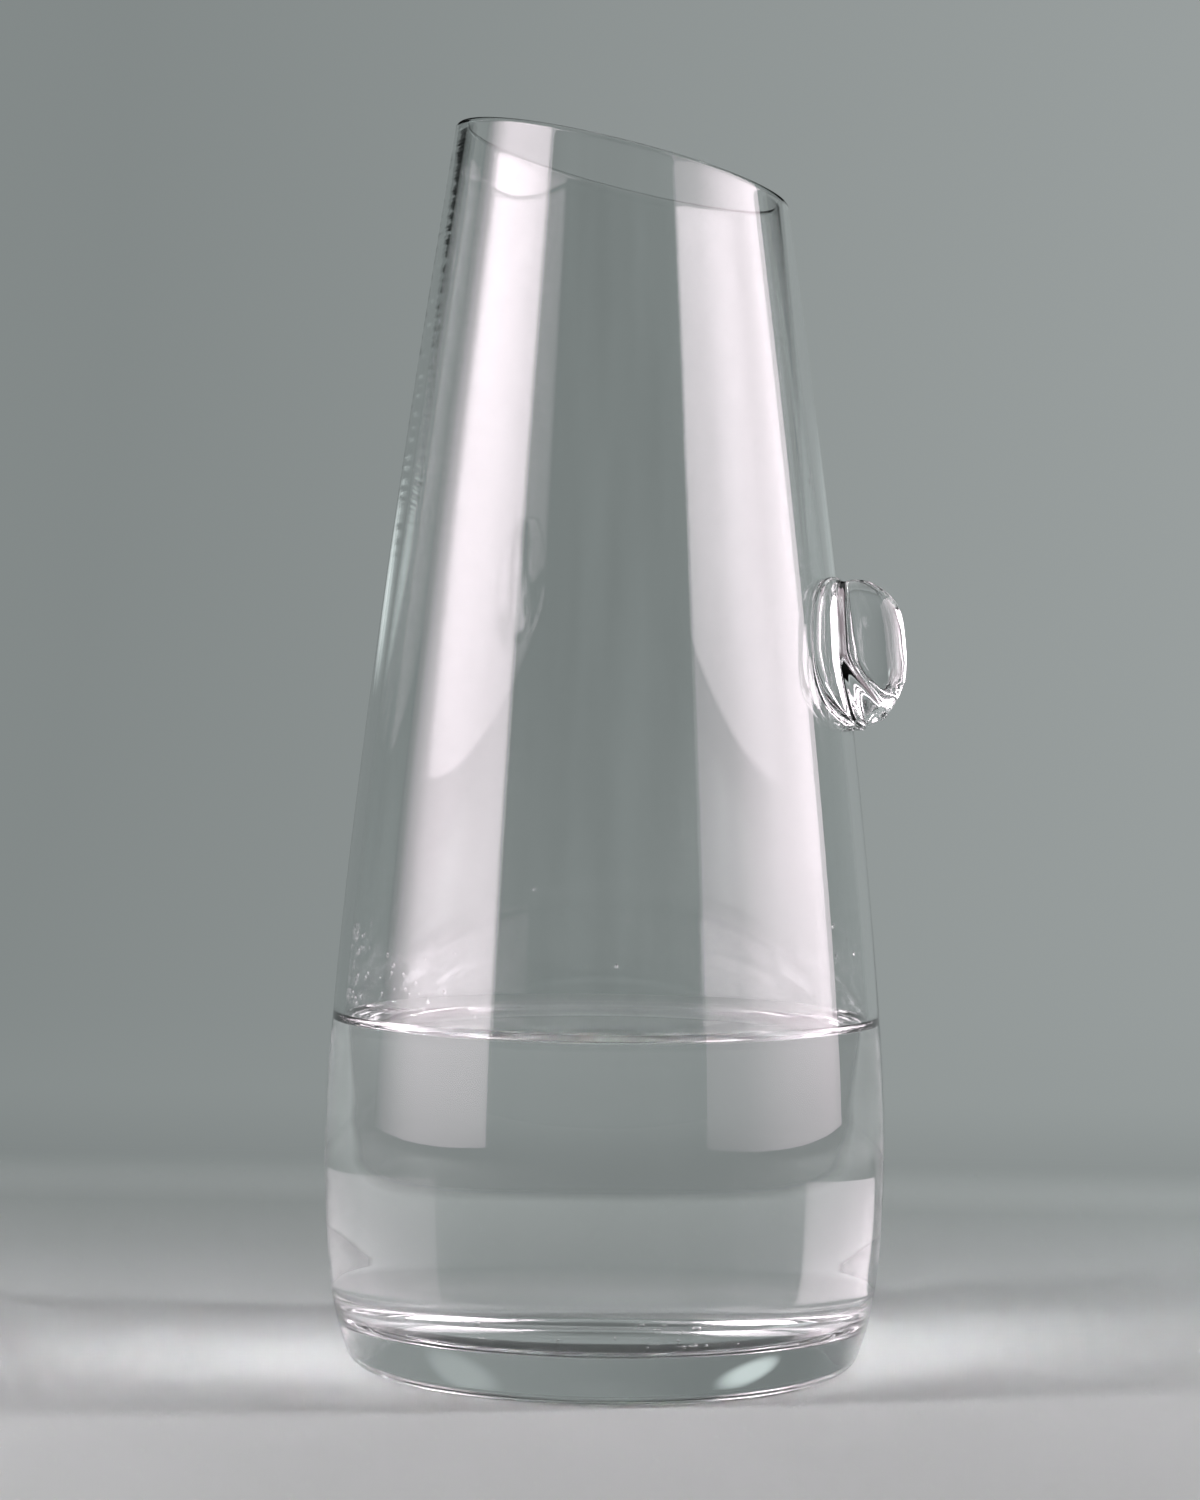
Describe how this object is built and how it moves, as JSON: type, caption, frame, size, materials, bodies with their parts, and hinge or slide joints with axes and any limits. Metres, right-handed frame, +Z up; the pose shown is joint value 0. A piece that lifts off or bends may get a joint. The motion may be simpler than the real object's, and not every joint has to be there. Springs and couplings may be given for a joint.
{
  "type": "water carafe",
  "caption": "Tapered glass water carafe with a slanted mouth, a thick base and a thumb knob on the neck, part filled with water.",
  "frame": {"origin": "on the vessel's axis, at the level of the ring that it stands on", "axes": "+Z up along the vessel's axis, +X towards the low side of the slanted mouth, where the thumb knob is, +Y to its left"},
  "size_m": [0.1228, 0.12, 0.2654],
  "materials": {
    "clear_glass": "fire-polished clear blown glass",
    "knob_glass": "solid clear glass, applied hot and pinched",
    "water": "clear still water"
  },
  "bodies": {
    "root": {"carafe_body": "clear_glass", "thumb_knob": "knob_glass", "water": "water"}
  },
  "joints": []
}
